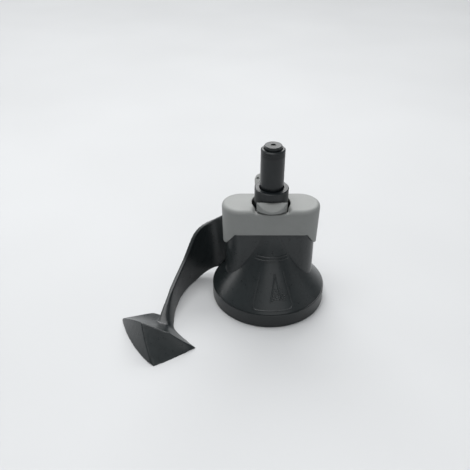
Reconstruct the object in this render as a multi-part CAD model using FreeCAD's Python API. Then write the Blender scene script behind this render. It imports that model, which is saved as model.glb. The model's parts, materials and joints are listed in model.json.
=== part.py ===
"""Stirring paddle of a stirred hot-air fryer, as an assembly of separate pieces.

Millimetres, +Z up.  The origin is on the hub axis, in the plane that the base ring and the
plough stand on.  +X runs along the long side of the grey cap, -Y is the thumb tab's side.
"""
import FreeCAD
import Part
import math
import os

from FreeCAD import Vector

# ---- driving dimensions ---------------------------------------------------------------
RIM_R = 45.0                 # base ring, outside
RIM_H = 11.8                 # base ring, height
SWEEP_R = 120.4              # outer edge of the plough from the hub axis
PLOUGH_INNER_R = 86.0        # inner edge of the plough from the hub axis
BELL_FOOT_R = 44.2           # bell flank where it meets the base ring
BELL_FOOT_Z = 12.1
BELL_TOP_R = 13.6
BELL_TOP_Z = 64.5
BELL_WALL = 2.7
TOWER_HALF_W = 34.3          # tower: a stadium in plan
TOWER_HALF_D = 12.3
TOWER_WALL = 2.4
TOWER_FOOT_Z = 20.0          # the bell cuts the tower off above this
TOWER_DRAFT = 0.35           # how much wider the tower is down there, each side
DECK_Z = 68.6                # underside of the tower's deck
DECK_T = 2.4
CAP_HALF_W = 37.0
CAP_HALF_D = 15.0
CAP_TOP_Z = 85.0
CAP_FRONT_Z = 64.0           # lower edge of the cap's long sides
CAP_LEG_Z = 51.2             # lower edge of the legs at the ends
CAP_WALL = 2.3
CAP_DRAFT = 0.9              # how much the cap narrows to its foot, each side
CAP_OPENING_R = 14.4
BLOCK_R = 12.65              # flatted collar round the post
BLOCK_FLAT = 10.5            # its flats, from the axis
BLOCK_TOP_Z = 97.8
BLOCK_NECK_R = 9.2
POST_R = 8.75                # the turning tube
POST_TOP_Z = 128.4
POST_FREE_Z = 100.0          # the tube is this free of the collar
SPINDLE_R = 4.0
HEAD_R = 6.4
HEAD_TOP_Z = 131.0
SHAFT_BORE_R = 6.05          # bore for the fryer's drive shaft
SOCKET_Z = 34.0
PIVOT_Z = 80.0               # lever hinge, along X through the hub axis
LEVER_DEG = 5.0
RUN = 0.05                   # radial running clearance
DECK_TOP = DECK_Z + DECK_T

NODES = {}


# ---- small helpers ----------------------------------------------------------------------
def box(x0, x1, y0, y1, z0, z1):
    return Part.makeBox(x1 - x0, y1 - y0, z1 - z0, Vector(x0, y0, z0))


def rod(r, z0, z1, x=0.0, y=0.0):
    return Part.makeCylinder(r, z1 - z0, Vector(x, y, z0))


def rod_x(r, x0, x1, y, z):
    return Part.makeCylinder(r, x1 - x0, Vector(x0, y, z), Vector(1, 0, 0))


def rod_y(r, y0, y1, x, z):
    return Part.makeCylinder(r, y1 - y0, Vector(x, y0, z), Vector(0, 1, 0))


def ring(r_out, r_in, z0, z1, x=0.0, y=0.0):
    return rod(r_out, z0, z1, x, y).cut(rod(r_in, z0 - 1, z1 + 1, x, y))


def both_sides(make):
    return [make(-1), make(1)]


def fuse_all(shapes):
    return shapes[0].fuse(shapes[1:]).removeSplitter()


def stadium_wire(half_w, half_d, z):
    """Two straight sides along X and two round ends."""
    c = half_w - half_d
    a, b = Vector(-c, -half_d, z), Vector(c, -half_d, z)
    d, e = Vector(c, half_d, z), Vector(-c, half_d, z)
    right = Part.Arc(b, Vector(half_w, 0, z), d).toShape()
    left = Part.Arc(e, Vector(-half_w, 0, z), a).toShape()
    sides = [Part.LineSegment(a, b).toShape(), Part.LineSegment(d, e).toShape()]
    return Part.Wire([sides[0], right, sides[1], left])


def stadium(half_w, half_d, z0, z1):
    face = Part.Face(stadium_wire(half_w, half_d, z0))
    return face.extrude(Vector(0, 0, z1 - z0))


def drafted_stadium(half_w, half_d, z0, grow0, z1, grow1):
    """A stadium in plan whose sides lean: larger by grow0 all round at z0 and by grow1 at z1."""
    c = half_w - half_d
    r0, r1 = half_d + grow0, half_d + grow1
    ends = both_sides(lambda s: Part.makeCone(r0, r1, z1 - z0, Vector(s * c, 0, z0)))
    middle = prism([Vector(-c, -r0, z0), Vector(-c, r0, z0), Vector(-c, r1, z1), Vector(-c, -r1, z1)],
                   Vector(2 * c, 0, 0))
    return fuse_all(ends + [middle])


def polygon(points):
    return Part.Wire(Part.makePolygon(points + [points[0]]))


def prism(points, direction):
    return Part.Face(polygon(points)).extrude(direction)


def turned(edges):
    """A solid of revolution about the hub axis from a closed chain of XZ edges."""
    wire = Part.Wire(Part.__sortEdges__(edges))
    return Part.Face(wire).revolve(Vector(0, 0, 0), Vector(0, 0, 1), 360)


def turned_polygon(points):
    corners = [Vector(r, 0, z) for r, z in points]
    return Part.Face(polygon(corners)).revolve(Vector(0, 0, 0), Vector(0, 0, 1), 360)


def chamfered_top(shape, size, z):
    edges = [e for e in shape.Edges if abs(e.BoundBox.ZMin - z) < 1e-4 and abs(e.BoundBox.ZMax - z) < 1e-4]
    return shape.makeChamfer(size, edges)


def rounded_top(shape, radius, z):
    edges = [e for e in shape.Edges if abs(e.BoundBox.ZMin - z) < 1e-4 and abs(e.BoundBox.ZMax - z) < 1e-4]
    return shape.makeFillet(radius, edges)


# ---- bell and base ring -------------------------------------------------------------------
FLANK = [(BELL_FOOT_R, BELL_FOOT_Z), (33.4, 24.0), (26.2, 32.8), (19.8, 44.0), (BELL_TOP_R, BELL_TOP_Z)]
INNER_FLANK = [(41.0, BELL_FOOT_Z), (30.9, 22.0), (23.9, 30.9), (17.2, 42.6), (12.2, 57.5)]


def flank_edge(points):
    curve = Part.BSplineCurve()
    curve.interpolate([Vector(r, 0, z) for r, z in points])
    return curve.toShape()


def line(p, q):
    return Part.LineSegment(Vector(p[0], 0, p[1]), Vector(q[0], 0, q[1])).toShape()


def chain(points):
    return [line(p, q) for p, q in zip(points[:-1], points[1:])]


def bell_outside():
    """Everything inside the bell's outer flank, used to scribe the pieces that sit on it."""
    foot, top = FLANK[0], FLANK[-1]
    rest = chain([top, (0, top[1]), (0, foot[1]), foot])
    return turned([flank_edge(FLANK)] + rest)


SKIRT_R = 42.4
LIP_Z = 1.5


def base_ring():
    outline = [(39.6, 0), (RIM_R - 0.6, 0), (RIM_R, 0.6), (RIM_R, RIM_H - 0.4), (RIM_R - 0.4, RIM_H),
               (SKIRT_R, RIM_H), (SKIRT_R, LIP_Z), (39.6, LIP_Z)]
    return turned_polygon(outline)


SOCKET_R = 10.0
WEB_Z = 60.0
BLOCK_SCREW_X = 11.9


def bell_hub():
    edges = [flank_edge(FLANK), flank_edge(INNER_FLANK)]
    edges += chain([FLANK[-1], (SOCKET_R, BELL_TOP_Z), (SOCKET_R, WEB_Z), (12.2, WEB_Z), INNER_FLANK[-1]])
    edges += chain([FLANK[0], (SKIRT_R, BELL_FOOT_Z), (SKIRT_R, LIP_Z), (40.4, LIP_Z), INNER_FLANK[0]])
    hub = turned(edges)
    for x in (-BLOCK_SCREW_X, BLOCK_SCREW_X):
        hub = hub.cut(rod(1.2, WEB_Z + 1.5, BELL_TOP_Z + 1, x))
    return hub


# ---- tower ---------------------------------------------------------------------------------
CAP_SCREW_X = 29.0
ARM_SCREWS = [(-16.2, 50.0), (-16.2, 58.5)]
LEG_X = 18.0                 # lever legs and the slots for them


def tower_outside():
    return drafted_stadium(TOWER_HALF_W, TOWER_HALF_D, TOWER_FOOT_Z, TOWER_DRAFT, DECK_TOP, 0.0)


def tower_shell():
    outer = tower_outside()
    hollow = stadium(TOWER_HALF_W - TOWER_WALL, TOWER_HALF_D - TOWER_WALL, 19, DECK_Z)
    tower = outer.cut(hollow).cut(bell_outside())
    tower = tower.cut(box(-50, 50, -20, 20, 15, BELL_FOOT_Z + 12))
    tower = tower.cut(rod(7.0, DECK_Z - 1, DECK_TOP + 1))
    for side in (-1, 1):
        x = side * LEG_X
        tower = tower.cut(box(x - 2.1, x + 2.1, -2.4, 4.4, DECK_Z - 1, DECK_TOP + 1))
        tower = tower.cut(rod(1.25, DECK_Z - 1, DECK_TOP + 1, side * CAP_SCREW_X))
        tower = tower.cut(rod(1.2, DECK_Z - 1, DECK_TOP + 1, side * BLOCK_SCREW_X))
    for x, z in ARM_SCREWS:
        tower = tower.cut(rod_y(1.25, 5, 20, x, z))
    solids = sorted(tower.Solids, key=lambda s: -s.Volume)
    return solids[0]


# ---- drive socket, seal, latch ----------------------------------------------------------------
SEAL_R = 8.0
SEAL_TOP = 37.0


def drive_socket():
    body = rod(9.2, SOCKET_Z, WEB_Z - 2.5)
    flange = rod(11.2, WEB_Z - 2.5, WEB_Z)
    plug = rod(SOCKET_R, WEB_Z, BELL_TOP_Z)
    socket = fuse_all([body, flange, plug])
    socket = socket.cut(rod(SHAFT_BORE_R, SOCKET_Z - 1, BELL_TOP_Z + 1))
    socket = socket.cut(rod(SEAL_R, SOCKET_Z - 1, SEAL_TOP))
    for side in (-1, 1):
        keyway = box(side * 6.5 - 1.2, side * 6.5 + 1.2, -1.1, 1.1, SOCKET_Z - 1, BELL_TOP_Z + 1)
        socket = socket.cut(keyway)
    return socket


def shaft_seal():
    outline = [(6.3, SOCKET_Z + 0.3), (SEAL_R, SOCKET_Z + 0.3), (SEAL_R, SEAL_TOP), (7.2, SEAL_TOP), (6.9, 35.6)]
    return turned_polygon(outline)


GUIDE_HALF_W = 25.0
GUIDE_HALF_D = 9.2
GUIDE_FLOOR_TOP = 66.0
RAIL_X = 22.4


def latch_guide():
    floor = box(-GUIDE_HALF_W, GUIDE_HALF_W, -GUIDE_HALF_D, GUIDE_HALF_D, BELL_TOP_Z, GUIDE_FLOOR_TOP)
    rails = both_sides(lambda s: box(min(s * RAIL_X, s * GUIDE_HALF_W), max(s * RAIL_X, s * GUIDE_HALF_W),
                                     -GUIDE_HALF_D, GUIDE_HALF_D, GUIDE_FLOOR_TOP, DECK_Z))
    posts = both_sides(lambda s: rod(2.2, GUIDE_FLOOR_TOP, DECK_Z, s * BLOCK_SCREW_X))
    guide = fuse_all([floor] + rails + posts)
    guide = guide.cut(rod(7.0, BELL_TOP_Z - 1, GUIDE_FLOOR_TOP + 1))
    for x in (-BLOCK_SCREW_X, BLOCK_SCREW_X):
        guide = guide.cut(rod(1.2, BELL_TOP_Z - 1, DECK_Z + 1, x))
    return guide


PLATE_Z0 = 66.3
PLATE_Z1 = 68.3
LATCH_TRAVEL = (PIVOT_Z - (PLATE_Z0 + PLATE_Z1) / 2) * math.radians(LEVER_DEG)


def latch_plate():
    plate = box(-22, 22, -9.0, 7.0, PLATE_Z0, PLATE_Z1)
    plate = plate.cut(rod(6.4, PLATE_Z0 - 1, PLATE_Z1 + 1, 0, -LATCH_TRAVEL))
    for side in (-1, 1):
        x = side * BLOCK_SCREW_X
        slot = fuse_all([rod(2.6, PLATE_Z0 - 1, PLATE_Z1 + 1, x, 0.3),
                         rod(2.6, PLATE_Z0 - 1, PLATE_Z1 + 1, x, -2.1),
                         box(x - 2.6, x + 2.6, -2.1, 0.3, PLATE_Z0 - 1, PLATE_Z1 + 1)])
        plate = plate.cut(slot)
        x = side * LEG_X
        plate = plate.cut(box(x - 1.8, x + 1.8, -1.8, 1.8, PLATE_Z0 - 1, PLATE_Z1 + 1))
    return plate


# ---- drive block, post and what holds it ---------------------------------------------------------
BLOCK_HEAD_Z = 83.5
CUP_R = 9.0
CUP_BEVEL = 0.3              # at the cup's mouth
CUP_Z = 88.0
FLANGE_R = 8.0
FLANGE_Z = 86.0
CLIP_POCKET_R = 6.5
CLIP_POCKET_TOP = 76.0
SPINDLE_FOOT_Z = 73.6
SPINDLE_TOP_Z = 128.0
CLIP_Z0 = 75.0


def drive_block():
    foot = stadium(15.4, 9.2, DECK_TOP, DECK_TOP + 2.4)
    neck = rod(BLOCK_NECK_R, DECK_TOP, BLOCK_HEAD_Z)
    head = rod(BLOCK_R, BLOCK_HEAD_Z, BLOCK_TOP_Z)
    head = head.common(box(-20, 20, -BLOCK_FLAT, BLOCK_FLAT, 80, 110).fuse(rod(BLOCK_R, BLOCK_TOP_Z - 5.2, 110)))
    head = chamfered_top(head.removeSplitter(), 0.5, BLOCK_TOP_Z)
    block = fuse_all([foot, neck, head])
    block = block.cut(rod(SPINDLE_R, DECK_TOP - 1, 100))
    block = block.cut(rod(CUP_R, CUP_Z, 110)).cut(rod(FLANGE_R, FLANGE_Z, CUP_Z + 1))
    block = block.cut(Part.makeCone(CUP_R, CUP_R + CUP_BEVEL, CUP_BEVEL, Vector(0, 0, BLOCK_TOP_Z - CUP_BEVEL)))
    block = block.cut(rod(CLIP_POCKET_R, DECK_TOP - 1, CLIP_POCKET_TOP))
    for x in (-BLOCK_SCREW_X, BLOCK_SCREW_X):
        block = block.cut(rod(1.2, DECK_TOP - 1, DECK_TOP + 5, x))
    return block


def post_spindle():
    spindle = fuse_all([rod(SPINDLE_R, SPINDLE_FOOT_Z, SPINDLE_TOP_Z), rod(FLANGE_R, FLANGE_Z, CUP_Z)])
    spindle = spindle.cut(ring(5.0, 3.4, CLIP_Z0, CLIP_Z0 + 0.9))
    return spindle.cut(rod(1.25, 118.0, 131.0))


def spindle_clip():
    clip = ring(5.9, 3.4, CLIP_Z0, CLIP_Z0 + 0.9)
    return clip.cut(box(-1.4, 1.4, 2, 8, CLIP_Z0 - 1, CLIP_Z0 + 2))


WASHER_TOP = 89.2
SLEEVE_FOOT_Z = 89.4
SLEEVE_BORE_R = 5.4
COUNTERBORE_R = 6.9
GROOVES_Z = (123.6, 125.0, 126.4)
COUNTERBORE_Z = 124.8


def thrust_washer():
    return ring(CUP_R - 0.3, SPINDLE_R + 0.2, CUP_Z, WASHER_TOP)


def post_sleeve():
    tube = fuse_all([rod(POST_R - 0.35, SLEEVE_FOOT_Z, POST_FREE_Z), rod(POST_R, POST_FREE_Z, POST_TOP_Z)])
    tube = chamfered_top(tube, 0.7, POST_TOP_Z)
    tube = tube.cut(rod(SLEEVE_BORE_R, 80, 140)).cut(rod(COUNTERBORE_R, COUNTERBORE_Z, 140))
    for z in GROOVES_Z:
        tube = tube.cut(ring(12, POST_R - 0.22, z, z + 0.45))
    return tube


def bush(z0, z1):
    return ring(SLEEVE_BORE_R, SPINDLE_R + RUN, z0, z1)


def spindle_cap():
    head = rod(HEAD_R, COUNTERBORE_Z + 0.5, HEAD_TOP_Z)
    head = rounded_top(head, 0.6, HEAD_TOP_Z)
    head = head.cut(rod(SPINDLE_R, 120, SPINDLE_TOP_Z)).cut(rod(1.25, 125, 140))
    return head.cut(rod(1.9, HEAD_TOP_Z - 2.0, 140))


def head_screw():
    screw = fuse_all([rod(1.25, 119.0, HEAD_TOP_Z - 2.0), rod(1.8, HEAD_TOP_Z - 2.0, HEAD_TOP_Z - 0.9)])
    return screw.cut(prism([Vector(0.85 * math.cos(math.radians(60 * i)), 0.85 * math.sin(math.radians(60 * i)),
                                   HEAD_TOP_Z - 1.7) for i in range(6)], Vector(0, 0, 3)))


# ---- release cap and lever -------------------------------------------------------------------------
TAB_HALF_W = 11.5
TAB_GAP = 0.35
RECESS_Z = 82.4              # floor under the tab
LUG_X0, LUG_X1 = -11.6, 0.6
LUG_Y0, LUG_Y1 = 14.45, 16.4
LUG_TOP_Z = 103.1
ARM_X0, ARM_X1 = 16.5, 19.5
LEVER_Z0, LEVER_Z1 = 77.6, 82.0
SPRING_Y = -9.6
TAB_FRONT_Y = -17.2          # the tab stands proud of the cap's front
SCOOP_R = 12.4               # thumb scoop in the cap
SCOOP_Y = -13.4
SCOOP_LIP = 3.4              # rounding where the scoop meets the cap's top
LUG_LEAN = 60.0              # the lug leans back above the cap
LUG_BEND_Z = 85.0


def d_outline(half_w, rear, front, z0, z1):
    """A D in plan: flat at the rear, an arc in front."""
    a, b = Vector(-half_w, rear, z0), Vector(half_w, rear, z0)
    arc = Part.Arc(a, Vector(0, front, z0), b).toShape()
    face = Part.Face(Part.Wire([arc, Part.LineSegment(b, a).toShape()]))
    return face.extrude(Vector(0, 0, z1 - z0))


def thumb_scoop():
    """Cutter with a rounded lip at the cap's top and a floor that falls to the front."""
    lip_z = CAP_TOP_Z - SCOOP_LIP
    centre = Vector(SCOOP_R + SCOOP_LIP, 0, lip_z)
    middle = centre + Vector(-SCOOP_LIP, 0, SCOOP_LIP) * math.sqrt(0.5)
    lip = Part.Arc(Vector(SCOOP_R, 0, lip_z), middle, Vector(SCOOP_R + SCOOP_LIP, 0, CAP_TOP_Z)).toShape()
    edges = [lip] + chain([(SCOOP_R + SCOOP_LIP, CAP_TOP_Z), (SCOOP_R + SCOOP_LIP, 90), (0, 90), (0, 70),
                           (SCOOP_R, 70), (SCOOP_R, lip_z)])
    cutter = turned(edges)
    cutter.translate(Vector(0, SCOOP_Y, 0))
    floor = [(-40, RECESS_Z - 0.4), (-18.0, RECESS_Z - 0.4), (-12.0, RECESS_Z + 0.9), (10, RECESS_Z + 1.2)]
    dish = cutter.common(prism([Vector(-40, y, z) for y, z in floor + [(10, 95), (-40, 95)]], Vector(80, 0, 0)))
    half_w, rear = TAB_HALF_W + TAB_GAP, -BLOCK_FLAT - 0.25 - TAB_GAP
    slot = d_outline(half_w, rear, TAB_FRONT_Y - 2 * TAB_GAP, RECESS_Z, 92.0)
    return fuse_all([dish, slot, box(-half_w, half_w, rear, -8.0, RECESS_Z, 92.0)])


def release_cap():
    foot_z = CAP_LEG_Z - 1
    cap = drafted_stadium(CAP_HALF_W, CAP_HALF_D, foot_z, -CAP_DRAFT, CAP_TOP_Z, 0.0)
    cap = rounded_top(cap, 3.0, CAP_TOP_Z)
    hollow = drafted_stadium(TOWER_HALF_W, TOWER_HALF_D, foot_z - 1, 0.35, CAP_TOP_Z - 2.4, 0.1)
    bosses = both_sides(lambda s: rod(3.0, DECK_TOP, CAP_TOP_Z - 2.0, s * CAP_SCREW_X))
    lugs = both_sides(lambda s: box(s * 21.8 - 1.5, s * 21.8 + 1.5, -2.6, 2.6, 77.0, CAP_TOP_Z - 2.0))
    cap = fuse_all([cap.cut(hollow)] + bosses + lugs)
    # long sides end high, the round ends run down as legs
    side = [(-40, 30), (-40, CAP_LEG_Z), (-36.2, CAP_LEG_Z), (-33, 54.5), (-27, CAP_FRONT_Z),
            (27, CAP_FRONT_Z), (33, 54.5), (36.2, CAP_LEG_Z), (40, CAP_LEG_Z), (40, 30)]
    cap = cap.cut(prism([Vector(x, -20, z) for x, z in side], Vector(0, 40, 0)))
    cap = cap.cut(bell_outside())
    # opening for the drive block, the thumb recess in front and the lug's slot behind
    cap = cap.cut(rod(CAP_OPENING_R, 82.0, 90))
    cap = cap.cut(thumb_scoop())
    cap = cap.cut(box(LUG_X0 - 0.8, LUG_X1 + 0.8, 9.0, 20, 76.4, 90))
    for s in (-1, 1):
        cap = cap.cut(rod(1.25, DECK_TOP - 1, 80.0, s * CAP_SCREW_X))
        cap = cap.cut(rod_x(1.2, s * 21.8 - 2, s * 21.8 + 2, 0, PIVOT_Z))
    return cap


def thumb_tab():
    """A D whose top slopes down from the collar's flat to the front."""
    d_block = d_outline(TAB_HALF_W, -BLOCK_FLAT - 0.25, TAB_FRONT_Y, 80.0, 95.0)
    slope = [(-18.0, 85.1), (-16.0, 86.9), (-13.4, 89.2), (-10.0, 91.3), (-10.0, 83.9), (-18.0, 83.9)]
    return d_block.common(prism([Vector(-20, y, z) for y, z in slope], Vector(40, 0, 0)))


def release_lever():
    pieces = [thumb_tab()]
    pieces.append(box(-11.0, 11.0, -12.0, -10.75, LEVER_Z0, 84.5))
    pieces.append(box(-ARM_X1, ARM_X1, -12.0, -10.2, LEVER_Z0, LEVER_Z1))
    pieces.append(box(-ARM_X1, ARM_X1, 10.4, 12.0, LEVER_Z0, 80.6))
    pieces.append(box(LUG_X0, LUG_X1, 11.0, LUG_Y1, LEVER_Z0, 80.6))
    for s in (-1, 1):
        x0, x1 = min(s * ARM_X0, s * ARM_X1), max(s * ARM_X0, s * ARM_X1)
        pieces.append(box(x0, x1, -12.0, 4.0, LEVER_Z0, LEVER_Z1))
        pieces.append(box(x0, x1, 3.0, 12.0, LEVER_Z0, 80.6))
        pieces.append(box(s * LEG_X - 1.5, s * LEG_X + 1.5, -1.5, 1.5, PLATE_Z0 + 0.3, LEVER_Z0 + 1))
        pieces.append(rod(2.0, LEVER_Z0, LEVER_Z0 + 2.4, s * 14.5, SPRING_Y))
        pieces.append(box(s * 15.5 - 2.0, s * 15.5 + 2.0, -12.0, SPRING_Y + 1.4, LEVER_Z0, LEVER_Z0 + 2.4))
    r = (LUG_X1 - LUG_X0) / 2
    mid = (LUG_X1 + LUG_X0) / 2
    plate = box(LUG_X0, LUG_X1, LUG_Y0, LUG_Y1, LUG_BEND_Z - 1.0, LUG_TOP_Z - r)
    plate = fuse_all([plate, rod_y(r, LUG_Y0, LUG_Y1, mid, LUG_TOP_Z - r)])
    plate = plate.cut(rod_y(1.0, LUG_Y0 - 1, LUG_Y0 + 1.2, mid - r + 2.6, LUG_TOP_Z - 5.2))
    plate.rotate(Vector(0, LUG_Y0, LUG_BEND_Z), Vector(1, 0, 0), -LUG_LEAN)
    upright = box(LUG_X0, LUG_X1, LUG_Y0, LUG_Y1, LEVER_Z0, LUG_BEND_Z)
    lug = fuse_all([plate, upright])
    lever = fuse_all(pieces + [lug])
    for s in (-1, 1):
        lever = lever.cut(rod_x(1.2 + RUN, s * 18 - 3, s * 18 + 3, 0, PIVOT_Z))
    return lever


def lever_pin(s):
    shank = rod_x(1.2, min(s * 15.6, s * 23.3), max(s * 15.6, s * 23.3), 0, PIVOT_Z)
    head = rod_x(1.9, min(s * 15.2, s * 16.2), max(s * 15.2, s * 16.2), 0, PIVOT_Z)
    return fuse_all([shank, head])


def coil_spring(x, y, z0, z1, r, wire_r, turns):
    """A round-wire compression spring; the wire stays inside z0 to z1."""
    height = z1 - z0 - 2 * wire_r
    helix = Part.makeHelix(height / turns, height, r)
    helix.translate(Vector(x, y, z0 + wire_r))
    start = Vector(x + r, y, z0 + wire_r)
    section = Part.Wire(Part.Circle(start, Vector(0, 1, 0), wire_r).toShape())
    sweep = Part.Wire(helix.Edges).makePipeShell([section], True, True)
    return sweep


def lever_springs():
    return both_sides(lambda s: coil_spring(s * 14.5, SPRING_Y, DECK_TOP, LEVER_Z0, 1.5, 0.22, 5))


# ---- screws -------------------------------------------------------------------------------------------
def cross_recess(x, y, z, axis):
    """Two crossed slots, 0.8 deep, in a screw head whose face is at the given place."""
    a, b, d = 1.5, 0.35, 0.8
    if axis == "y":
        return [box(x - a, x + a, y - d, y + 1, z - b, z + b), box(x - b, x + b, y - d, y + 1, z - a, z + a)]
    if axis == "-z":
        return [box(x - a, x + a, y - b, y + b, z - 1, z + d), box(x - b, x + b, y - a, y + a, z - 1, z + d)]
    return [box(x - a, x + a, y - b, y + b, z - d, z + 1), box(x - b, x + b, y - a, y + a, z - d, z + 1)]


def cap_screw(s):
    x = s * CAP_SCREW_X
    screw = fuse_all([rod(2.7, DECK_Z - 2.0, DECK_Z, x), rod(1.25, DECK_Z - 1, 79.0, x)])
    return screw.cut(cross_recess(x, 0, DECK_Z - 2.0, "-z"))


def block_screw(s):
    x = s * BLOCK_SCREW_X
    top = DECK_TOP + 2.4
    screw = fuse_all([rod(2.3, top, top + 1.7, x), rod(1.2, 62.0, top + 1, x)])
    return screw.cut(cross_recess(x, 0, top + 1.7, "z"))


PAD_Y = 15.6


def arm_screw(x, z):
    screw = fuse_all([rod_y(2.4, PAD_Y, PAD_Y + 1.6, x, z), rod_y(1.25, 10.7, PAD_Y + 1, x, z)])
    return screw.cut(cross_recess(x, PAD_Y + 1.6, z, "y"))


# ---- stirring arm -----------------------------------------------------------------------------------------
# Stations along the blade, hub to plough: inner foot x, y, low z, top z, outward lean of the top,
# thickness at the top and at the foot.
STATIONS = [
    (-20.5, 11.6, 30.0, 63.0, 0.0, 3.0, 3.0),
    (-31.0, 18.6, 13.0, 61.0, 0.0, 3.0, 3.0),
    (-41.3, 22.4, 8.0, 56.4, 0.0, 3.0, 3.0),
    (-50.3, 21.2, 4.3, 51.6, 0.0, 3.0, 3.0),
    (-57.8, 15.6, 1.0, 46.6, 0.0, 3.0, 3.0),
    (-64.4, 6.6, 0.1, 33.6, 0.0, 3.0, 3.2),
    (-69.8, -5.0, 0.0, 24.4, 0.2, 3.0, 3.4),
    (-73.1, -17.8, 0.0, 20.0, 1.0, 3.1, 4.4),
    (-73.9, -29.5, 0.0, 15.8, 3.0, 3.8, 6.9),
    (-73.4, -41.0, 0.0, 9.0, 4.8, 6.7, 10.0),
    (-71.6, -48.5, 0.0, 4.8, 4.6, 6.4, 8.6),
]


def blade():
    wires = []
    last = len(STATIONS) - 1
    for i, (x, y, low, top, lean, t_top, t_foot) in enumerate(STATIONS):
        before = STATIONS[max(i - 1, 0)]
        after = STATIONS[min(i + 1, last)]
        run = Vector(after[0] - before[0], after[1] - before[1], 0).normalize()
        out = Vector(run.y, -run.x, 0)
        foot = Vector(x, y, low)
        crest = Vector(x, y, top) + out * lean
        wires.append(polygon([foot, crest, crest + out * t_top, foot + out * t_foot]))
    return Part.makeLoft(wires, True, False)


PLOUGH_DIR = math.radians(-146.0)


def plough_wire(along, front, crest, mid, rear):
    """A cross-section of the plough, in a vertical plane at a distance along its own direction."""
    d = Vector(math.cos(PLOUGH_DIR), math.sin(PLOUGH_DIR), 0)
    t = Vector(-d.y, d.x, 0)

    def at(across, z):
        return d * along + t * across + Vector(0, 0, z)

    return polygon([at(front, 0), at(*crest), at(*mid), at(*rear), at(rear[0], 0)])


def plough():
    wires = [
        plough_wire(82.0, 24.8, (25.2, 6.6), (-2.0, 2.6), (-14.0, 1.6)),
        plough_wire(92.0, 24.4, (16.2, 9.4), (-3.0, 6.5), (-27.0, 1.6)),
        plough_wire(122.0, 23.8, (-12.4, 24.4), (-23.6, 14.0), (-36.3, 1.6)),
    ]
    body = Part.makeLoft(wires, True, True)
    slope_out, slope_in, high = 0.42, 1.0, 30.0
    keep = turned_polygon([(60, -1), (SWEEP_R + slope_out, -1), (SWEEP_R - slope_out * high, high), (60, high)])
    drop = turned_polygon([(0, -1), (PLOUGH_INNER_R - slope_in, -1),
                           (PLOUGH_INNER_R + slope_in * high, high), (0, high)])
    return body.common(keep).cut(drop)


def stirring_arm():
    pad = box(-30.0, -10.6, TOWER_HALF_D - 1, PAD_Y, 40.0, 62.4)
    corners = [e for e in pad.Edges if abs(e.BoundBox.YLength) > 1 and e.BoundBox.ZMin > 60]
    pad = pad.makeFillet(3.0, corners)
    arm = blade().fuse([plough(), pad])
    arm = arm.cut(tower_outside()).cut(bell_outside()).removeSplitter()
    arm = arm.cut(rod(RIM_R + 0.6, -1, BELL_FOOT_Z))
    cap_end = drafted_stadium(CAP_HALF_W, CAP_HALF_D, CAP_LEG_Z - 1, 0.3 - CAP_DRAFT, CAP_TOP_Z, 0.3)
    arm = arm.cut(cap_end.common(box(-50, -20.5, -20, 20, 54, 90)))
    for x, z in ARM_SCREWS:
        arm = arm.cut(rod_y(1.25, 5, 20, x, z))
    solids = sorted(arm.Solids, key=lambda s: -s.Volume)
    return solids[0]


# ---- assembly ----------------------------------------------------------------------------------------------
def build():
    NODES["base_ring"] = base_ring()
    NODES["bell_hub"] = bell_hub()
    NODES["tower_shell"] = tower_shell()
    NODES["stirring_arm"] = stirring_arm()
    NODES["arm_screws"] = Part.makeCompound([arm_screw(x, z) for x, z in ARM_SCREWS])
    NODES["drive_socket"] = drive_socket()
    NODES["shaft_seal"] = shaft_seal()
    NODES["latch_guide"] = latch_guide()
    NODES["latch_plate"] = latch_plate()
    NODES["drive_block"] = drive_block()
    NODES["block_screws"] = Part.makeCompound(both_sides(block_screw))
    NODES["post_spindle"] = post_spindle()
    NODES["spindle_clip"] = spindle_clip()
    NODES["thrust_washer"] = thrust_washer()
    NODES["post_sleeve"] = post_sleeve()
    NODES["lower_bush"] = bush(90.4, 98.4)
    NODES["upper_bush"] = bush(115.4, 123.4)
    NODES["spindle_cap"] = spindle_cap()
    NODES["head_screw"] = head_screw()
    NODES["release_cap"] = release_cap()
    NODES["cap_screws"] = Part.makeCompound(both_sides(cap_screw))
    NODES["release_lever"] = release_lever()
    NODES["lever_pins"] = Part.makeCompound(both_sides(lever_pin))
    NODES["lever_springs"] = Part.makeCompound(lever_springs())


def export():
    os.makedirs("parts", exist_ok=True)
    for name, shape in NODES.items():
        solids = shape.Solids
        print("%-16s solids %d valid %s volume %.0f" % (name, len(solids), shape.isValid(), shape.Volume))
        shape.exportStep("parts/%s.step" % name)


build()
export()
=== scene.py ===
import json
import math

import bmesh
import bpy
from bpy.props import FloatProperty, FloatVectorProperty, IntProperty, PointerProperty
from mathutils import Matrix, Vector
from mathutils.bvhtree import BVHTree


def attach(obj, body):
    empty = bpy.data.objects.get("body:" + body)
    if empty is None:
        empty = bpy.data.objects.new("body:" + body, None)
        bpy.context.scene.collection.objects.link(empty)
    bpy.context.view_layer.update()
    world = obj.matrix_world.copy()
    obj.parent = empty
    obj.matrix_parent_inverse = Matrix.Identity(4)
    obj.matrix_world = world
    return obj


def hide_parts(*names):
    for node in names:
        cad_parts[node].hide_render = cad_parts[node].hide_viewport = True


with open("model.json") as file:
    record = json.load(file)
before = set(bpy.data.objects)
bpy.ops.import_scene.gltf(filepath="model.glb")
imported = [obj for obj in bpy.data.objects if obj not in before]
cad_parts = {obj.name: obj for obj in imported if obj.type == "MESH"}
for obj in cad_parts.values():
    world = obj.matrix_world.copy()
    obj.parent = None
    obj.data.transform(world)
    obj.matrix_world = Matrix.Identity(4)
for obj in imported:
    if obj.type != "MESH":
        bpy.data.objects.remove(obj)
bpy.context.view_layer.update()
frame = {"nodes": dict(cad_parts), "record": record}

bl_info = {
    "name": "Fryer stirring paddle",
    "version": (1, 0, 0),
    "blender": (4, 5, 0),
    "location": "View3D > Sidebar > Paddle",
    "description": "Mouldings, relief and finishes of a stirring paddle on its packed assembly",
    "category": "Object",
}

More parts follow.
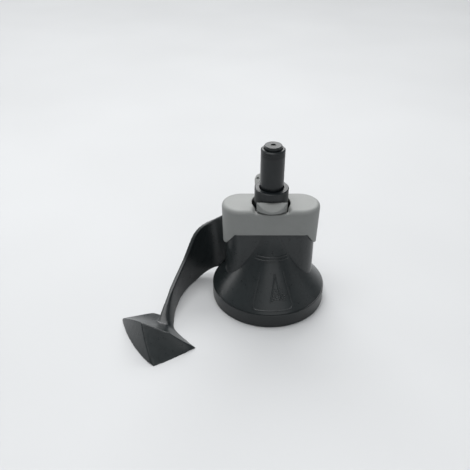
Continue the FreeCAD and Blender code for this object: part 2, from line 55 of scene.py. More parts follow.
# Metres, +Z up, the same frame as the assembly: hub axis on Z, thumb tab towards -Y.
MM = 0.001


# ---- settings -------------------------------------------------------------------------------
def length(name, description, default):
    return FloatProperty(name=name, description=description, default=default, min=0.0, max=1.0,
                         unit="LENGTH", subtype="DISTANCE", precision=5)


def factor(name, description, default):
    return FloatProperty(name=name, description=description, default=default, min=0.0, max=1.0,
                         subtype="FACTOR")


def colour(name, description, default):
    return FloatVectorProperty(name=name, description=description, default=default, min=0.0,
                               max=1.0, size=3, subtype="COLOR")


def angle(name, description, degrees):
    return FloatProperty(name=name, description=description, default=math.radians(degrees),
                         unit="ROTATION", subtype="ANGLE")


def watts(name, description, default):
    return FloatProperty(name=name, description=description + ", in watts", default=default, min=0.0)


class PaddleFinishes(bpy.types.PropertyGroup):
    black: colour("Black nylon", "Bell, tower and arm", (0.0140, 0.0178, 0.0190))
    ring: colour("Ring plastic", "Base ring", (0.0095, 0.0124, 0.0134))
    post: colour("Post plastic", "Tube, drive block and spindle cap", (0.0065, 0.0090, 0.0105))
    grey: colour("Grey plastic", "Release cap and lever", (0.222, 0.230, 0.224))
    socket: colour("Socket plastic", "Drive socket", (0.10, 0.10, 0.105))
    guide: colour("Guide plastic", "Latch guide", (0.24, 0.24, 0.23))
    bush: colour("Bush plastic", "Bushes and thrust washer", (0.66, 0.64, 0.57))
    seal: colour("Seal rubber", "Shaft seal", (0.36, 0.07, 0.04))
    steel: colour("Steel", "Screws, pins, spindle and latch plate", (0.58, 0.58, 0.57))


class PaddleMouldings(bpy.types.PropertyGroup):
    arm_cell: length("Arm cell", "Cell size when the arm's edges are softened", 0.55 * MM)
    cap_cell: length("Cap cell", "Cell size when the cap's edges are softened", 0.50 * MM)
    lever_cell: length("Lever cell", "Cell size when the lever's edges are softened", 0.34 * MM)
    soft_passes: IntProperty(name="Softening passes", description="Smoothing passes after that",
                             default=5, min=0, max=40)


class PaddleRelief(bpy.types.PropertyGroup):
    bead_radius: length("Bead radius", "Radius of the moulded lines", 0.70 * MM)
    bead_sunk: length("Bead sunk", "How far a line's middle lies below the surface", 0.15 * MM)
    upper_line_z: length("Upper line", "Height of the upper fill line", 46.6 * MM)
    lower_line_z: length("Lower line", "Height of the lower fill line", 44.3 * MM)
    line_reach: angle("Line reach", "Angle of a fill line each side of its middle", 39.0)
    line_middle: angle("Line middle", "Where a fill line's middle lies", 3.0)
    panel_left: angle("Panel left", "Left edge of the panel", -19.5)
    panel_right: angle("Panel right", "Right edge of the panel", 24.0)
    panel_low: length("Panel bottom", "Lowest part of the panel's frame", 14.2 * MM)
    panel_high: length("Panel top", "Highest part of the panel's frame", 36.0 * MM)
    pellet_gap: length("Pellet spacing", "Least distance between pellets in the heap", 1.5 * MM)
    pellet_radius: length("Pellet radius", "Half the thickness of a pellet", 0.55 * MM)
    pellet_length: length("Pellet length", "From end to end", 2.2 * MM)
    pellet_seed: IntProperty(name="Pellet seed", description="Scatter of the pellets", default=4)


class PaddleStage(bpy.types.PropertyGroup):
    lens: FloatProperty(name="Lens", description="Focal length in mm", default=42.12, min=1.0)
    eye: FloatVectorProperty(name="Camera place", description="Where the camera stands",
                             default=(-0.0270, -0.3575, 0.2901), size=3, subtype="TRANSLATION",
                             unit="LENGTH")
    tilt: angle("Camera tilt", "Tilt up from looking straight down", 56.7)
    floor: colour("Floor", "Pale floor", (0.550, 0.558, 0.566))
    room: factor("Room light", "Brightness of the surroundings", 0.20)
    back: watts("Back power", "Softbox behind", 240.0)
    overhead: watts("Overhead power", "Softbox overhead", 16.5)
    front: watts("Front power", "Weak softbox over the camera", 5.0)
    side: watts("Side power", "Weak softbox at the right", 0.5)
    left: watts("Left power", "Softbox at the back left", 7.0)


# ---- shader groups and materials --------------------------------------------------------------
def add(tree, kind, **settings):
    node = tree.nodes.new(kind)
    for key, value in settings.items():
        setattr(node, key, value)
    return node


def feed(tree, socket, value):
    """Link a socket to another one, or set it to a plain value."""
    if isinstance(value, bpy.types.NodeSocket):
        tree.links.new(value, socket)
    else:
        socket.default_value = value


def maths(tree, operation, *values):
    node = add(tree, "ShaderNodeMath", operation=operation)
    for socket, value in zip(node.inputs, values):
        feed(tree, socket, value)
    return node.outputs[0]


def noise(tree, vector, scale, detail=3.0, roughness=0.55):
    node = add(tree, "ShaderNodeTexNoise")
    tree.links.new(vector, node.inputs["Vector"])
    feed(tree, node.inputs["Scale"], scale)
    node.inputs["Detail"].default_value = detail
    node.inputs["Roughness"].default_value = roughness
    return node.outputs["Fac"]


def span(tree, value, low, high, new_low, new_high):
    node = add(tree, "ShaderNodeMapRange", clamp=True)
    tree.links.new(value, node.inputs["Value"])
    limits = {"From Min": low, "From Max": high, "To Min": new_low, "To Max": new_high}
    for name, number in limits.items():
        feed(tree, node.inputs[name], number)
    return node.outputs["Result"]


def shade(tree, mask, first, second):
    """Mix a colour socket with a plain colour by a mask."""
    node = add(tree, "ShaderNodeMix", data_type="RGBA")
    feed(tree, node.inputs["Factor"], mask)
    feed(tree, node.inputs["A"], first)
    feed(tree, node.inputs["B"], (*second, 1.0))
    return node.outputs["Result"]


def group_tree(name, inputs, outputs):
    tree = bpy.data.node_groups.new(name, "ShaderNodeTree")
    for kind, label, default in inputs:
        socket = tree.interface.new_socket(name=label, in_out="INPUT", socket_type=kind)
        if default is not None:
            socket.default_value = default
    for kind, label in outputs:
        tree.interface.new_socket(name=label, in_out="OUTPUT", socket_type=kind)
    return tree, add(tree, "NodeGroupInput"), add(tree, "NodeGroupOutput")


def moulded_skin():
    """Colour, roughness and height of a spark-textured moulding, with faint flow and handling."""
    name = "Moulded skin"
    if name in bpy.data.node_groups:
        return bpy.data.node_groups[name]
    inputs = [("NodeSocketVector", "Vector", None), ("NodeSocketColor", "Colour", (0.5, 0.5, 0.5, 1.0)),
              ("NodeSocketFloat", "Grain scale", 2400.0), ("NodeSocketFloat", "Shade spread", 0.12),
              ("NodeSocketFloat", "Roughness low", 0.38), ("NodeSocketFloat", "Roughness high", 0.52)]
    outputs = [("NodeSocketColor", "Colour"), ("NodeSocketFloat", "Roughness"), ("NodeSocketFloat", "Height")]
    tree, given, result = group_tree(name, inputs, outputs)
    vector = given.outputs["Vector"]
    patches = noise(tree, vector, 55.0, 2.0)
    flow = noise(tree, vector, 240.0, 4.0, 0.6)
    grain = noise(tree, vector, given.outputs["Grain scale"], 2.0, 0.5)
    cells = add(tree, "ShaderNodeTexVoronoi", feature="SMOOTH_F1")
    tree.links.new(vector, cells.inputs["Vector"])
    tree.links.new(maths(tree, "MULTIPLY", given.outputs["Grain scale"], 0.6), cells.inputs["Scale"])
    pits = span(tree, cells.outputs["Distance"], 0.15, 0.75, 1.0, 0.0)
    spread = given.outputs["Shade spread"]
    mixed = maths(tree, "ADD", maths(tree, "MULTIPLY", patches, 0.6), maths(tree, "MULTIPLY", flow, 0.4))
    darkest, lightest = maths(tree, "SUBTRACT", 1.0, spread), maths(tree, "ADD", 1.0, spread)
    level = span(tree, mixed, 0.36, 0.64, darkest, lightest)
    level = maths(tree, "ADD", level, span(tree, grain, 0.3, 0.7, -0.05, 0.05))
    scaled = add(tree, "ShaderNodeVectorMath", operation="SCALE")
    tree.links.new(given.outputs["Colour"], scaled.inputs[0])
    tree.links.new(level, scaled.inputs["Scale"])
    tree.links.new(scaled.outputs["Vector"], result.inputs["Colour"])
    rub = maths(tree, "ADD", maths(tree, "MULTIPLY", flow, 0.55), maths(tree, "MULTIPLY", grain, 0.45))
    rough = span(tree, rub, 0.32, 0.68, given.outputs["Roughness low"], given.outputs["Roughness high"])
    tree.links.new(rough, result.inputs["Roughness"])
    height = maths(tree, "ADD", maths(tree, "MULTIPLY", grain, 0.5), maths(tree, "MULTIPLY", pits, 0.5))
    tree.links.new(height, result.inputs["Height"])
    return tree


def contact_wear():
    """Mask of rubbing near the floor line, broken up by scratches."""
    name = "Contact wear"
    if name in bpy.data.node_groups:
        return bpy.data.node_groups[name]
    inputs = [("NodeSocketVector", "Vector", None), ("NodeSocketFloat", "Reach", 0.002)]
    tree, given, result = group_tree(name, inputs, [("NodeSocketFloat", "Mask")])
    parts = add(tree, "ShaderNodeSeparateXYZ")
    tree.links.new(given.outputs["Vector"], parts.inputs[0])
    near = span(tree, maths(tree, "DIVIDE", parts.outputs["Z"], given.outputs["Reach"]), 0.0, 1.0, 1.0, 0.0)
    stretched = add(tree, "ShaderNodeMapping")
    tree.links.new(given.outputs["Vector"], stretched.inputs["Vector"])
    stretched.inputs["Scale"].default_value = (1.0, 1.0, 9.0)
    marks = noise(tree, stretched.outputs["Vector"], 420.0, 5.0, 0.7)
    broken = span(tree, marks, 0.46, 0.62, 0.0, 1.0)
    tree.links.new(maths(tree, "MULTIPLY", near, broken), result.inputs["Mask"])
    return tree


def worked_metal():
    """Colour, roughness and height of turned or drawn steel; the lines run round Z."""
    name = "Worked metal"
    if name in bpy.data.node_groups:
        return bpy.data.node_groups[name]
    inputs = [("NodeSocketVector", "Vector", None), ("NodeSocketColor", "Colour", (0.6, 0.6, 0.6, 1.0)),
              ("NodeSocketFloat", "Line scale", 300.0)]
    outputs = [("NodeSocketColor", "Colour"), ("NodeSocketFloat", "Roughness"), ("NodeSocketFloat", "Height")]
    tree, given, result = group_tree(name, inputs, outputs)
    stretched = add(tree, "ShaderNodeMapping")
    tree.links.new(given.outputs["Vector"], stretched.inputs["Vector"])
    stretched.inputs["Scale"].default_value = (1.0, 1.0, 14.0)
    lines = noise(tree, stretched.outputs["Vector"], given.outputs["Line scale"], 4.0, 0.6)
    stain = noise(tree, given.outputs["Vector"], 130.0, 3.0)
    mixed = maths(tree, "ADD", maths(tree, "MULTIPLY", lines, 0.4), maths(tree, "MULTIPLY", stain, 0.6))
    level = span(tree, mixed, 0.35, 0.65, 0.82, 1.08)
    scaled = add(tree, "ShaderNodeVectorMath", operation="SCALE")
    tree.links.new(given.outputs["Colour"], scaled.inputs[0])
    tree.links.new(level, scaled.inputs["Scale"])
    tree.links.new(scaled.outputs["Vector"], result.inputs["Colour"])
    tree.links.new(span(tree, lines, 0.3, 0.7, 0.22, 0.42), result.inputs["Roughness"])
    tree.links.new(lines, result.inputs["Height"])
    return tree


def new_material(name):
    material = bpy.data.materials.new(name)
    material.use_nodes = True
    tree = material.node_tree
    return material, tree, tree.nodes["Principled BSDF"], add(tree, "ShaderNodeTexCoord").outputs["Object"]


def place_group(tree, group, vector, **values):
    node = add(tree, "ShaderNodeGroup", node_tree=group)
    tree.links.new(vector, node.inputs["Vector"])
    for name, value in values.items():
        node.inputs[name.replace("_", " ")].default_value = value
    return node.outputs


def set_bump(tree, shader, height, depth):
    bump = add(tree, "ShaderNodeBump")
    bump.inputs["Strength"].default_value = 1.0
    bump.inputs["Distance"].default_value = depth
    tree.links.new(height, bump.inputs["Height"])
    tree.links.new(bump.outputs["Normal"], shader.inputs["Normal"])


def moulded(name, base, grain=2400.0, spread=0.10, low=0.38, high=0.52, depth=0.012 * MM, wear=0.0,
            specular=0.5):
    """A moulded plastic or rubber; wear is the height above the floor that rubbing reaches."""
    material, tree, shader, vector = new_material(name)
    skin = place_group(tree, moulded_skin(), vector, Colour=(*base, 1.0), Grain_scale=grain,
                       Shade_spread=spread, Roughness_low=low, Roughness_high=high)
    tint, rough = skin["Colour"], skin["Roughness"]
    if wear:
        mask = place_group(tree, contact_wear(), vector, Reach=wear)["Mask"]
        rubbed = [min(1.0, part * 3.2 + 0.01) for part in base]
        tint = shade(tree, maths(tree, "MULTIPLY", mask, 0.55), tint, rubbed)
        rough = maths(tree, "ADD", rough, maths(tree, "MULTIPLY", mask, 0.16))
    tree.links.new(tint, shader.inputs["Base Color"])
    tree.links.new(rough, shader.inputs["Roughness"])
    shader.inputs["Specular IOR Level"].default_value = specular
    set_bump(tree, shader, skin["Height"], depth)
    return material


def metal(name, base, lines=300.0):
    material, tree, shader, vector = new_material(name)
    skin = place_group(tree, worked_metal(), vector, Colour=(*base, 1.0), Line_scale=lines)
    tree.links.new(skin["Colour"], shader.inputs["Base Color"])
    tree.links.new(skin["Roughness"], shader.inputs["Roughness"])
    shader.inputs["Metallic"].default_value = 1.0
    set_bump(tree, shader, skin["Height"], 0.004 * MM)
    return material


def finish(slot):
    """The material of a slot in the record, made when it is first asked for."""
    name = "finish_" + slot
    if name in bpy.data.materials:
        return bpy.data.materials[name]
    look = bpy.context.scene.paddle_finishes
    makers = {
        "black_nylon": lambda: moulded(name, look.black, 2100.0, 0.10, 0.25, 0.37, wear=1.6 * MM),
        "ring_plastic": lambda: moulded(name, look.ring, 2600.0, 0.08, 0.28, 0.38, wear=1.4 * MM,
                                        specular=0.45),
        "post_plastic": lambda: moulded(name, look.post, 2900.0, 0.08, 0.30, 0.40, specular=0.42),
        "grey_plastic": lambda: moulded(name, look.grey, 1900.0, 0.035, 0.46, 0.60),
        "socket_plastic": lambda: moulded(name, look.socket, 1500.0, 0.16, 0.50, 0.68),
        "guide_plastic": lambda: moulded(name, look.guide, 2000.0, 0.06, 0.48, 0.62),
        "bush_plastic": lambda: moulded(name, look.bush, 2600.0, 0.04, 0.26, 0.38, 0.006 * MM),
        "seal_rubber": lambda: moulded(name, look.seal, 3200.0, 0.10, 0.40, 0.60, specular=0.35),
        "steel": lambda: metal(name, look.steel),
        "spring_steel": lambda: metal(name, look.steel, 800.0),
    }
    return makers[slot]()


# ---- mesh helpers -------------------------------------------------------------------------------
def new_piece(name, mesh):
    piece = bpy.data.objects.new(name, mesh)
    bpy.context.scene.collection.objects.link(piece)
    return piece


def take_result(piece):
    """Turn the evaluated modifiers into the piece's own plain mesh."""
    graph = bpy.context.evaluated_depsgraph_get()
    mesh = bpy.data.meshes.new_from_object(piece.evaluated_get(graph))
    old = piece.data
    piece.modifiers.clear()
    piece.data = mesh
    bpy.data.meshes.remove(old)
    if not mesh.polygons:
        raise RuntimeError(piece.name + " came out empty")


def copy_of_node(node, name):
    mesh = frame["nodes"][node].data.copy()
    work = bmesh.new()
    work.from_mesh(mesh)
    bmesh.ops.remove_doubles(work, verts=work.verts, dist=0.002 * MM)
    work.to_mesh(mesh)
    work.free()
    return new_piece(name, mesh)


def soften(piece, cell, passes):
    """Round a moulding's edges: even cells over its surface, then a few smoothing passes."""
    cells = piece.modifiers.new("Even cells", "REMESH")
    cells.mode = "VOXEL"
    cells.voxel_size = cell
    cells.use_smooth_shade = True
    smooth = piece.modifiers.new("Soft edges", "SMOOTH")
    smooth.factor = 0.5
    smooth.iterations = passes
    take_result(piece)


def stand_in(node, name, slot, body, cell, passes, spots=()):
    """A soft-edged copy of a node that takes its place, with its finish and its body."""
    piece = copy_of_node(node, name)
    soften(piece, cell, passes)
    if spots:
        soften_spots(piece, spots)
    give_finish(piece, slot, body)
    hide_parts(node)


def soften_spots(piece, spots):
    """Extra smoothing round a few places: (x, y, z) in mm, reach in mm, passes."""
    for i, (place, reach, passes) in enumerate(spots):
        middle = Vector(place) * MM
        group = piece.vertex_groups.new(name="spot_%d" % i)
        for vertex in piece.data.vertices:
            near = 1.0 - (vertex.co - middle).length / (reach * MM)
            if near > 0.0:
                group.add([vertex.index], min(1.0, 2.0 * near), "REPLACE")
        smooth = piece.modifiers.new("Spot %d" % i, "SMOOTH")
        smooth.vertex_group = group.name
        smooth.factor = 0.5
        smooth.iterations = passes
    take_result(piece)
    piece.vertex_groups.clear()


def give_finish(piece, slot, body):
    piece.data.materials.clear()
    piece.data.materials.append(finish(slot))
    for face in piece.data.polygons:
        face.use_smooth = True
    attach(piece, body)


# ---- relief on the bell ---------------------------------------------------------------------------
class BellFront:
    """The bell's outer surface, found by looking inwards at its node."""
    START_R = 60.0 * MM

    def __init__(self):
        mesh = frame["nodes"]["bell_hub"].data
        corners = [v.co.copy() for v in mesh.vertices]
        self.tree = BVHTree.FromPolygons(corners, [tuple(p.vertices) for p in mesh.polygons])

    def at(self, turn, height, sunk=0.0):
        """Point on the bell; turn is measured from the front, positive towards +X."""
        outward = Vector((math.sin(turn), -math.cos(turn), 0.0))
        start = outward * self.START_R + Vector((0.0, 0.0, height))
        place, normal, _, _ = self.tree.ray_cast(start, -outward)
        if place is None:
            raise RuntimeError("No bell surface at height %.4f" % height)
        if normal.dot(outward) < 0.0:
            normal = -normal
        return place - normal * sunk


def polyline(name, runs, closed=False):
    """A mesh of edges only, one chain for each run of points."""
    points, edges = [], []
    for run in runs:
        first = len(points)
        points += run
        edges += [(first + i, first + i + 1) for i in range(len(run) - 1)]
        if closed:
            edges.append((first + len(run) - 1, first))
    mesh = bpy.data.meshes.new(name)
    mesh.from_pydata(points, edges, [])
    return new_piece(name, mesh)


def tree_of_nodes(name, inputs):
    tree = bpy.data.node_groups.new(name, "GeometryNodeTree")
    tree.interface.new_socket(name="Geometry", in_out="INPUT", socket_type="NodeSocketGeometry")
    for kind, label, default in inputs:
        socket = tree.interface.new_socket(name=label, in_out="INPUT", socket_type=kind)
        if default is not None:
            socket.default_value = default
    tree.interface.new_socket(name="Geometry", in_out="OUTPUT", socket_type="NodeSocketGeometry")
    return tree, add(tree, "NodeGroupInput"), add(tree, "NodeGroupOutput")


def end_tree(tree, given, result, geometry):
    """Every tree ends in Realize Instances and Set Material."""
    real = add(tree, "GeometryNodeRealizeInstances")
    paint = add(tree, "GeometryNodeSetMaterial")
    tree.links.new(geometry, real.inputs["Geometry"])
    tree.links.new(real.outputs["Geometry"], paint.inputs["Geometry"])
    tree.links.new(given.outputs["Material"], paint.inputs["Material"])
    tree.links.new(paint.outputs["Geometry"], result.inputs["Geometry"])


def run_tree(piece, tree, **values):
    """Set the modifier's inputs by their identifiers, then keep its result as a plain mesh."""
    modifier = piece.modifiers.new(tree.name, "NODES")
    modifier.node_group = tree
    wanted = {name.replace("_", " "): value for name, value in values.items()}
    for item in tree.interface.items_tree:
        if item.item_type == "SOCKET" and item.in_out == "INPUT" and item.name in wanted:
            modifier[item.identifier] = wanted.pop(item.name)
    if wanted:
        raise RuntimeError("No such input: " + ", ".join(wanted))
    take_result(piece)


def bead_tree():
    """A rounded bead along each chain of edges."""
    inputs = [("NodeSocketFloat", "Bead radius", 0.0004), ("NodeSocketFloat", "Step", 0.0006),
              ("NodeSocketInt", "Sides", 10), ("NodeSocketMaterial", "Material", None)]
    tree, given, result = tree_of_nodes("Moulded bead", inputs)
    curve = add(tree, "GeometryNodeMeshToCurve")
    tree.links.new(given.outputs["Geometry"], curve.inputs["Mesh"])
    even = add(tree, "GeometryNodeResampleCurve", mode="LENGTH")
    tree.links.new(curve.outputs["Curve"], even.inputs["Curve"])
    tree.links.new(given.outputs["Step"], even.inputs["Length"])
    circle = add(tree, "GeometryNodeCurvePrimitiveCircle")
    tree.links.new(given.outputs["Sides"], circle.inputs["Resolution"])
    tree.links.new(given.outputs["Bead radius"], circle.inputs["Radius"])
    swept = add(tree, "GeometryNodeCurveToMesh")
    swept.inputs["Fill Caps"].default_value = True
    tree.links.new(even.outputs["Curve"], swept.inputs["Curve"])
    tree.links.new(circle.outputs["Curve"], swept.inputs["Profile Curve"])
    end_tree(tree, given, result, swept.outputs["Mesh"])
    return tree


def pellet_tree():
    """Small rounded sticks scattered over a patch, lying flat on it."""
    inputs = [("NodeSocketFloat", "Spacing", 0.0015), ("NodeSocketFloat", "Pellet radius", 0.0004),
              ("NodeSocketFloat", "Pellet length", 0.0018), ("NodeSocketInt", "Seed", 0),
              ("NodeSocketMaterial", "Material", None)]
    tree, given, result = tree_of_nodes("Heaped pellets", inputs)
    points = add(tree, "GeometryNodeDistributePointsOnFaces", distribute_method="POISSON")
    tree.links.new(given.outputs["Geometry"], points.inputs["Mesh"])
    tree.links.new(given.outputs["Spacing"], points.inputs["Distance Min"])
    points.inputs["Density Max"].default_value = 4.0e6
    tree.links.new(given.outputs["Seed"], points.inputs["Seed"])
    stick = add(tree, "GeometryNodeMeshUVSphere")
    stick.inputs["Segments"].default_value = 10
    stick.inputs["Rings"].default_value = 6
    tree.links.new(given.outputs["Pellet radius"], stick.inputs["Radius"])
    stretch = add(tree, "GeometryNodeTransform")
    tree.links.new(stick.outputs["Mesh"], stretch.inputs["Geometry"])
    longer = add(tree, "ShaderNodeMath", operation="DIVIDE")
    tree.links.new(given.outputs["Pellet length"], longer.inputs[0])
    tree.links.new(given.outputs["Pellet radius"], longer.inputs[1])
    half = add(tree, "ShaderNodeMath", operation="MULTIPLY")
    tree.links.new(longer.outputs[0], half.inputs[0])
    half.inputs[1].default_value = 0.5
    scale = add(tree, "ShaderNodeCombineXYZ")
    scale.inputs["Y"].default_value = 1.0
    scale.inputs["Z"].default_value = 1.0
    tree.links.new(half.outputs[0], scale.inputs["X"])
    tree.links.new(scale.outputs[0], stretch.inputs["Scale"])
    spin = add(tree, "FunctionNodeRandomValue", data_type="FLOAT")
    tree.links.new(given.outputs["Seed"], spin.inputs["Seed"])
    for socket in spin.inputs:
        if socket.name == "Min" and socket.type == "VALUE":
            socket.default_value = -1.1
        if socket.name == "Max" and socket.type == "VALUE":
            socket.default_value = 1.1
    turn = add(tree, "FunctionNodeRotateRotation", rotation_space="LOCAL")
    own = add(tree, "ShaderNodeCombineXYZ")
    drawn = next(s for s in spin.outputs if s.type == "VALUE" and s.enabled)
    tree.links.new(drawn, own.inputs["Z"])
    tree.links.new(points.outputs["Rotation"], turn.inputs["Rotation"])
    tree.links.new(own.outputs[0], turn.inputs["Rotate By"])
    placed = add(tree, "GeometryNodeInstanceOnPoints")
    tree.links.new(points.outputs["Points"], placed.inputs["Points"])
    tree.links.new(stretch.outputs["Geometry"], placed.inputs["Instance"])
    tree.links.new(turn.outputs["Rotation"], placed.inputs["Rotation"])
    end_tree(tree, given, result, placed.outputs["Instances"])
    return tree


def steps(first, last, count):
    return [first + (last - first) * i / (count - 1) for i in range(count)]


# ---- operators ---------------------------------------------------------------------------------------
class PADDLE_OT_node_finishes(bpy.types.Operator):
    """Give every node of the assembly the finish that its slot in the record names"""
    bl_idname = "paddle.node_finishes"
    bl_label = "Node finishes"

    def execute(self, context):
        for part in frame["record"]["subparts"]:
            mesh = frame["nodes"][part["node"]].data
            if not mesh.materials:
                mesh.materials.append(None)
            for i in range(len(mesh.materials)):
                mesh.materials[i] = finish(part["material_slot"])
        return {"FINISHED"}


class PADDLE_OT_stirring_arm(bpy.types.Operator):
    """The curved blade and its plough as one moulding with soft edges"""
    bl_idname = "paddle.stirring_arm"
    bl_label = "Stirring arm"

    # blade's foot on the plough, the plough's outer corner and its inner tip
    SPOTS = [
        ((-77.0, -40.0, 8.0), 22.0, 70),
        ((-84.0, -84.0, 1.0), 7.0, 60),
        ((-57.5, -67.0, 2.0), 7.0, 60),
    ]

    def execute(self, context):
        sizes = context.scene.paddle_mouldings
        stand_in("stirring_arm", "arm_moulding", "black_nylon", "hub", sizes.arm_cell,
                 sizes.soft_passes, self.SPOTS)
        return {"FINISHED"}


class PADDLE_OT_release_cap(bpy.types.Operator):
    """The grey cap with its two rounded lobes"""
    bl_idname = "paddle.release_cap"
    bl_label = "Release cap"

    def execute(self, context):
        sizes = context.scene.paddle_mouldings
        stand_in("release_cap", "cap_moulding", "grey_plastic", "hub", sizes.cap_cell,
                 sizes.soft_passes)
        return {"FINISHED"}


class PADDLE_OT_release_lever(bpy.types.Operator):
    """The rocking lever with its thumb tab and rear lug"""
    bl_idname = "paddle.release_lever"
    bl_label = "Release lever"

    def execute(self, context):
        sizes = context.scene.paddle_mouldings
        stand_in("release_lever", "lever_moulding", "grey_plastic", "lever", sizes.lever_cell,
                 sizes.soft_passes)
        return {"FINISHED"}


class PADDLE_OT_fill_lines(bpy.types.Operator):
    """The two fill lines and the panel's frame, as raised beads on the bell"""
    bl_idname = "paddle.fill_lines"
    bl_label = "Fill lines and panel"

    def execute(self, context):
        relief = context.scene.paddle_relief
        bell = BellFront()
        sunk = relief.bead_sunk
        runs = []
        first, last = relief.line_middle - relief.line_reach, relief.line_middle + relief.line_reach
        for height in (relief.upper_line_z, relief.lower_line_z):
            runs.append([bell.at(turn, height, sunk) for turn in steps(first, last, 60)])
        runs.append([bell.at(turn, height, sunk) for turn, height in self.frame_path(relief)])
        beads = polyline("fill_lines", runs)
        run_tree(beads, bead_tree(), Bead_radius=relief.bead_radius, Step=0.6 * MM, Sides=10,
                 Material=finish("black_nylon"))
        give_finish(beads, "black_nylon", "hub")
        return {"FINISHED"}

    def frame_path(self, relief):
        """Down the left side, round two corners and up the right side."""
        low, high, corner = relief.panel_low, relief.panel_high, 3.0 * MM
        bend = math.radians(4.5)
        path = [(relief.panel_left, height) for height in steps(high, low + corner, 40)]
        path += [(relief.panel_left + bend * (1 - math.cos(t)), low + corner * (1 - math.sin(t)))
                 for t in steps(0.1, math.pi / 2, 8)]
        path += [(turn, low) for turn in steps(relief.panel_left + bend, relief.panel_right - bend, 30)[1:]]
        path += [(relief.panel_right - bend * (1 - math.sin(t)), low + corner * (1 - math.cos(t)))
                 for t in steps(0.1, math.pi / 2, 8)]
        path += [(relief.panel_right, height) for height in steps(low + corner, high, 40)[1:]]
        return path


class PADDLE_OT_heap_mark(bpy.types.Operator):
    """A plain heap of pellets under two sloping lines, raised on the panel"""
    bl_idname = "paddle.heap_mark"
    bl_label = "Heap mark"

    TOP = (math.radians(7.5), 35.5 * MM)
    LEFT = (math.radians(-0.5), 19.0 * MM)
    RIGHT = (math.radians(14.0), 19.5 * MM)

    def execute(self, context):
        relief = context.scene.paddle_relief
        bell = BellFront()
        runs = [self.slope(bell, self.TOP, foot, relief.bead_sunk) for foot in (self.LEFT, self.RIGHT)]
        lines = polyline("heap_lines", runs)
        run_tree(lines, bead_tree(), Bead_radius=relief.bead_radius, Step=0.6 * MM, Sides=10,
                 Material=finish("black_nylon"))
        give_finish(lines, "black_nylon", "hub")
        pellets = self.patch(bell, relief.bead_sunk)
        run_tree(pellets, pellet_tree(), Spacing=relief.pellet_gap, Pellet_radius=relief.pellet_radius,
                 Pellet_length=relief.pellet_length, Seed=relief.pellet_seed, Material=finish("black_nylon"))
        give_finish(pellets, "black_nylon", "hub")
        return {"FINISHED"}

    def slope(self, bell, top, foot, sunk):
        turns, heights = steps(top[0], foot[0], 40), steps(top[1], foot[1], 40)
        return [bell.at(turn, height, sunk) for turn, height in zip(turns, heights)]

    def patch(self, bell, sunk):
        """A grid on the bell between the sloping lines, over the lower part of the heap."""
        rows, columns = 16, 8
        points, faces = [], []
        for share in steps(0.52, 0.98, rows):
            left = self.TOP[0] + (self.LEFT[0] - self.TOP[0]) * share + math.radians(1.0)
            right = self.TOP[0] + (self.RIGHT[0] - self.TOP[0]) * share + math.radians(5.0)
            height = self.TOP[1] + (self.LEFT[1] - self.TOP[1]) * share
            points += [bell.at(turn, height, sunk) for turn in steps(left, right, columns)]
        for i in range(rows - 1):
            for j in range(columns - 1):
                a = i * columns + j
                faces.append((a, a + columns, a + columns + 1, a + 1))
        mesh = bpy.data.meshes.new("heap_pellets")
        mesh.from_pydata(points, [], faces)
        return new_piece("heap_pellets", mesh)


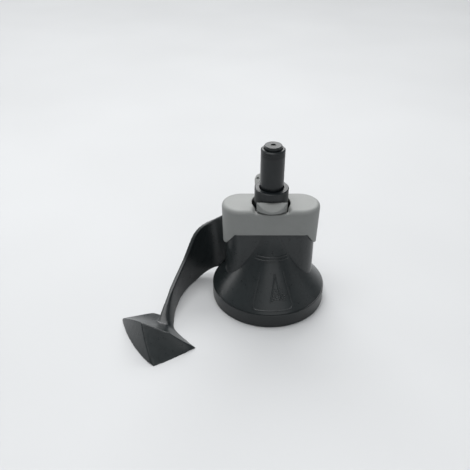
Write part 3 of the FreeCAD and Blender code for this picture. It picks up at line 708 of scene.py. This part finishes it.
class PADDLE_OT_stage(bpy.types.Operator):
    """Pale floor, soft light from above and behind, and the camera"""
    bl_idname = "paddle.stage"
    bl_label = "Stage"

    FLOOR_HALF = 3.0
    SENSOR_WIDTH = 36.0
    # each softbox by the name of its power: where it stands and its size, in metres; all face the hub
    SOFTBOXES = {
        "back": ((-0.15, 4.40, 3.20), (6.0, 2.4)),
        "overhead": ((-0.15, 0.10, 1.3), (1.4, 1.0)),
        "side": ((1.2, -0.1, 0.6), (0.7, 0.7)),
        "left": ((-1.7, 0.9, 0.75), (1.1, 1.0)),
        "front": ((0.30, -1.50, 0.95), (1.6, 1.3)),
    }

    def execute(self, context):
        stage = context.scene.paddle_stage
        self.floor(stage)
        self.room(context, stage)
        for name, (place, size) in self.SOFTBOXES.items():
            self.softbox(name + "_softbox", getattr(stage, name), place, size)
        self.camera(context, stage)
        context.scene.view_settings.view_transform = "Standard"
        return {"FINISHED"}

    def floor(self, stage):
        half = self.FLOOR_HALF
        corners = [(-half, -half, 0), (half, -half, 0), (half, half, 0), (-half, half, 0)]
        mesh = bpy.data.meshes.new("floor")
        mesh.from_pydata(corners, [], [(0, 1, 2, 3)])
        floor = new_piece("floor", mesh)
        material, tree, shader, vector = new_material("floor_paint")
        cloud = span(tree, noise(tree, vector, 3.0, 2.0), 0.3, 0.7, 0.97, 1.03)
        tint = add(tree, "ShaderNodeVectorMath", operation="SCALE")
        tint.inputs[0].default_value = stage.floor
        tree.links.new(cloud, tint.inputs["Scale"])
        tree.links.new(tint.outputs["Vector"], shader.inputs["Base Color"])
        shader.inputs["Roughness"].default_value = 0.75
        shader.inputs["Specular IOR Level"].default_value = 0.2
        mesh.materials.append(material)

    def room(self, context, stage):
        world = bpy.data.worlds.new("room")
        world.use_nodes = True
        background = world.node_tree.nodes["Background"]
        background.inputs["Color"].default_value = (0.93, 0.97, 1.0, 1.0)
        background.inputs["Strength"].default_value = stage.room
        context.scene.world = world

    def softbox(self, name, power, place, size):
        light = bpy.data.lights.new(name, "AREA")
        light.shape = "RECTANGLE"
        light.size, light.size_y = size
        light.energy = power
        box = bpy.data.objects.new(name, light)
        box.location = place
        box.rotation_euler = (-Vector(place)).to_track_quat("-Z", "Y").to_euler()
        bpy.context.scene.collection.objects.link(box)

    def camera(self, context, stage):
        lens = bpy.data.cameras.new("camera")
        lens.lens = stage.lens
        lens.sensor_width = self.SENSOR_WIDTH
        lens.clip_start = 0.01
        camera = bpy.data.objects.new("camera", lens)
        camera.location = stage.eye
        camera.rotation_euler = (stage.tilt, 0.0, 0.0)
        context.scene.collection.objects.link(camera)
        context.scene.camera = camera


OPERATORS = (PADDLE_OT_node_finishes, PADDLE_OT_stirring_arm, PADDLE_OT_release_cap,
             PADDLE_OT_release_lever, PADDLE_OT_fill_lines, PADDLE_OT_heap_mark, PADDLE_OT_stage)
SETTINGS = {"paddle_finishes": PaddleFinishes, "paddle_mouldings": PaddleMouldings,
            "paddle_relief": PaddleRelief, "paddle_stage": PaddleStage}


class PADDLE_PT_sidebar(bpy.types.Panel):
    """Pieces of the paddle in the order that they are made"""
    bl_idname = "PADDLE_PT_sidebar"
    bl_label = "Paddle"
    bl_space_type = "VIEW_3D"
    bl_region_type = "UI"
    bl_category = "Paddle"

    def draw(self, context):
        for operator in OPERATORS:
            self.layout.operator(operator.bl_idname)
        for name, group in SETTINGS.items():
            box = self.layout.box()
            for key in group.__annotations__:
                box.prop(getattr(context.scene, name), key)


def register():
    for item in (*SETTINGS.values(), *OPERATORS, PADDLE_PT_sidebar):
        bpy.utils.register_class(item)
    for name, group in SETTINGS.items():
        setattr(bpy.types.Scene, name, PointerProperty(type=group))


def unregister():
    for name in SETTINGS:
        delattr(bpy.types.Scene, name)
    for item in reversed((*SETTINGS.values(), *OPERATORS, PADDLE_PT_sidebar)):
        bpy.utils.unregister_class(item)


def main():
    register()
    for operator in OPERATORS:
        family, name = operator.bl_idname.split(".")
        getattr(getattr(bpy.ops, family), name)()


if __name__ == "__main__":
    main()
